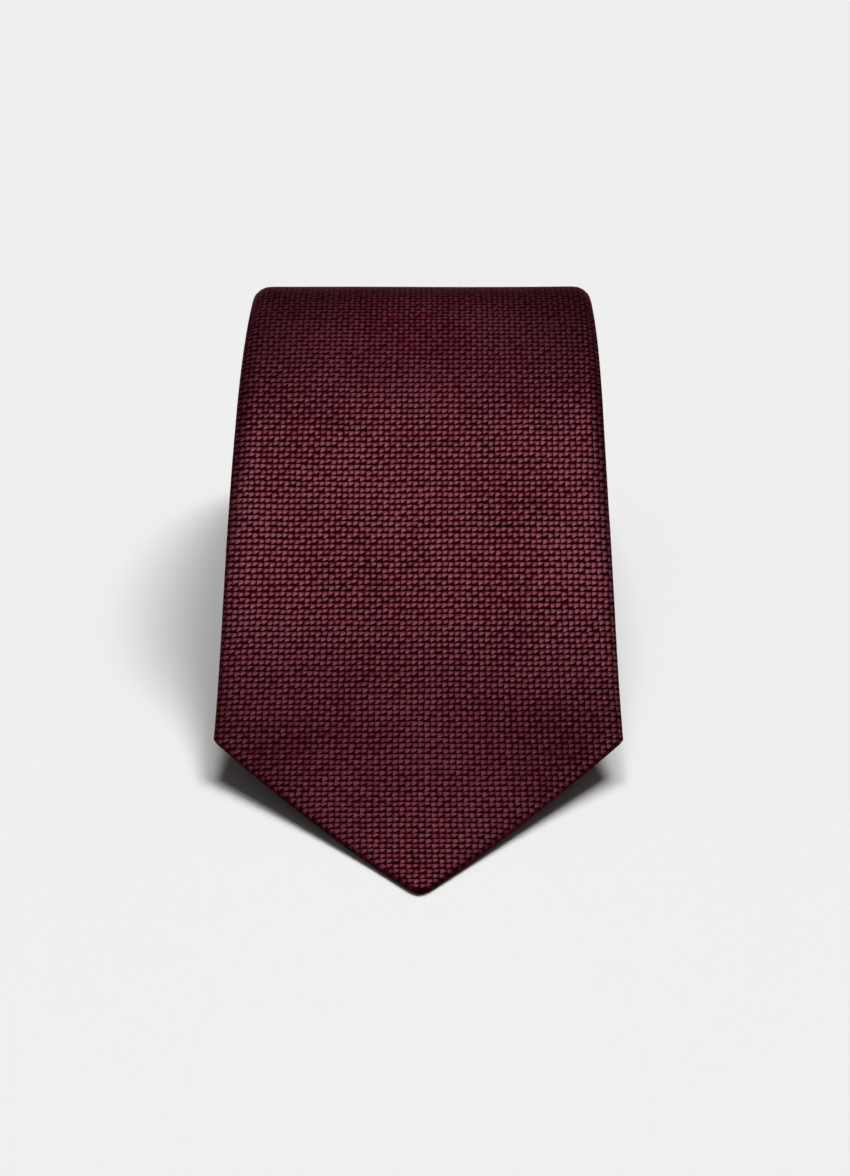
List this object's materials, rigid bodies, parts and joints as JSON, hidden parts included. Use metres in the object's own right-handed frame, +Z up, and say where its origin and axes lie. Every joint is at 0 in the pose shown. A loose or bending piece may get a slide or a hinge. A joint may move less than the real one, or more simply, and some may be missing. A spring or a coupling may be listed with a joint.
{
  "type": "necktie",
  "caption": "Woven silk necktie rolled up from its narrow end, with the blade coming over the top of the roll and down to its point.",
  "frame": {"origin": "on the surface that the tie rests on, straight under the axis of the roll, midway across the tie", "axes": "+X across the tie along the roll's axis, +Y from the blade's point towards the back of the roll, +Z up"},
  "size_m": [0.08, 0.1679, 0.0619],
  "materials": {
    "silk": "burgundy silk in a small basket weave, low sheen",
    "interlining": "brushed undyed wool",
    "tipping": "plain burgundy lining with a satin sheen",
    "thread": "burgundy sewing thread",
    "label_tape": "plain dark woven tape, blank"
  },
  "bodies": {
    "roll": {"blade_shell_rolled": "silk", "neck_shell": "silk", "tail_shell": "silk", "interlining_rolled": "interlining", "tail_tipping": "tipping", "slip_stitch_rolled": "thread", "tail_bar_tack": "thread", "blade_neck_seam_thread": "thread", "neck_tail_seam_thread": "thread", "keeper_loop": "silk", "keeper_tack_left": "thread", "keeper_tack_right": "thread", "care_label": "label_tape", "care_label_stitches": "thread"},
    "blade_end": {"blade_shell_free": "silk", "interlining_free": "interlining", "blade_tipping": "tipping", "slip_stitch_free": "thread", "blade_bar_tack": "thread"}
  },
  "joints": [
    {"name": "blade_lift", "type": "hinge", "parent": "roll", "child": "blade_end", "pos_m": [0, -0.00555, 0.06192], "axis": [-1, 0, 0], "range_deg": [0, 110]}
  ]
}
